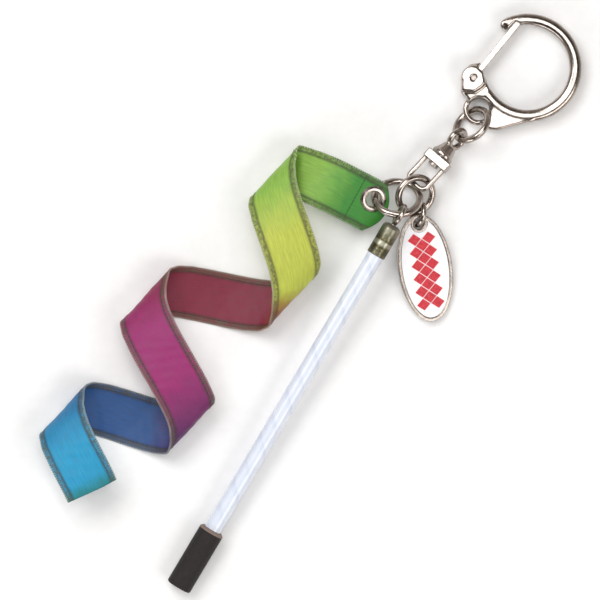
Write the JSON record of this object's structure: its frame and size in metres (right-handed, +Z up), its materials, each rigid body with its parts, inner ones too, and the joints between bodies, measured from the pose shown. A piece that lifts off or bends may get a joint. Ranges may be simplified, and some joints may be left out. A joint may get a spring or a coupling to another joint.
{
  "type": "gymnastics ribbon wand key charm",
  "caption": "Key charm: miniature gymnastics ribbon wand with a coiled rainbow ribbon and an oval tag, hung on rings and a swivel from a sprung snap hook.",
  "frame": {"origin": "middle of the bounding box, on the floor that the charm lies on", "axes": "+Z up from the floor, +Y towards the snap hook along the longest extent, +X to the right"},
  "size_m": [0.1349, 0.1444, 0.0129],
  "materials": {
    "nickel": "bright nickel plate",
    "dark_nickel": "dull plated steel",
    "enamel": "glossy white",
    "motif": "glossy red print",
    "rod": "glossy white with a faint spiral",
    "grip": "matt dark brown",
    "ferrule": "antiqued",
    "ribbon": "rainbow satin"
  },
  "bodies": {
    "hook": {"hook_body": "nickel", "gate_pin": "dark_nickel", "gate_spring": "dark_nickel"},
    "gate": {"hook_gate": "nickel"},
    "hook_ring": {"hook_ring": "nickel"},
    "bell": {"swivel_bell": "nickel", "swivel_rivet": "dark_nickel"},
    "loop": {"swivel_loop": "nickel"},
    "main_ring": {"main_ring": "nickel"},
    "ribbon_ring": {"ribbon_ring": "nickel"},
    "wand": {"wand_rod": "rod", "wand_grip": "grip", "wand_ferrule": "ferrule", "wand_eye": "nickel"},
    "ribbon": {"ribbon": "ribbon", "ribbon_end_tab": "ribbon", "ribbon_tail_hem": "ribbon", "eyelet": "nickel", "eyelet_washer": "dark_nickel"},
    "tag_ring": {"tag_ring": "nickel"},
    "tag": {"tag_plate": "nickel", "tag_enamel": "enamel", "tag_motif": "motif"}
  },
  "joints": [
    {"name": "gate_hinge", "type": "hinge", "parent": "hook", "child": "gate", "pos_m": [0.04088, 0.05606, 0.00282], "axis": [0, 0, -1], "range_deg": [0, 35], "stiffness_Nm_per_rad": 0.0015, "springref_deg": -34.38, "deforming": ["gate_spring"]},
    {"name": "hook_ring_swing", "type": "hinge", "parent": "hook", "child": "hook_ring", "pos_m": [0.04085, 0.04811, 0.00169], "axis": [-0.8341, -0.2544, -0.4895], "range_deg": [0, 50]},
    {"name": "bell_swing", "type": "hinge", "parent": "hook_ring", "child": "bell", "pos_m": [0.03691, 0.04146, 0.00385], "axis": [0.3536, -0.5547, 0.7532], "range_deg": [-60, 0]},
    {"name": "loop_spin", "type": "hinge", "parent": "bell", "child": "loop", "pos_m": [0.03189, 0.03557, 0.00456], "axis": [0.6797, 0.7289, -0.0819], "continuous": true},
    {"name": "main_ring_swing", "type": "hinge", "parent": "loop", "child": "main_ring", "pos_m": [0.02713, 0.02881, 0.0057], "axis": [-0.6975, 0.6077, -0.3798], "range_deg": [0, 60]},
    {"name": "ribbon_ring_swing", "type": "hinge", "parent": "main_ring", "child": "ribbon_ring", "pos_m": [0.02685, 0.02793, 0.00387], "axis": [0.6011, -0.7658, 0.2285], "range_deg": [-50, 0]},
    {"name": "wand_swing", "type": "hinge", "parent": "ribbon_ring", "child": "wand", "pos_m": [0.02195, 0.02201, 0.00937], "axis": [-0.9994, 0.0029, 0.035], "range_deg": [0, 60]},
    {"name": "ribbon_swing", "type": "hinge", "parent": "ribbon_ring", "child": "ribbon", "pos_m": [0.01623, 0.02623, 0.00579], "axis": [0.0124, -0.7448, 0.6672], "range_deg": [-45, 0]},
    {"name": "tag_ring_swing", "type": "hinge", "parent": "main_ring", "child": "tag_ring", "pos_m": [0.02698, 0.02267, 0.00282], "axis": [-0.9925, 0.0465, -0.1127], "range_deg": [0, 15]},
    {"name": "tag_swing", "type": "hinge", "parent": "tag_ring", "child": "tag", "pos_m": [0.02728, 0.01973, 0.00487], "axis": [0.7699, 0.4248, 0.4763], "range_deg": [-25, 0]}
  ]
}
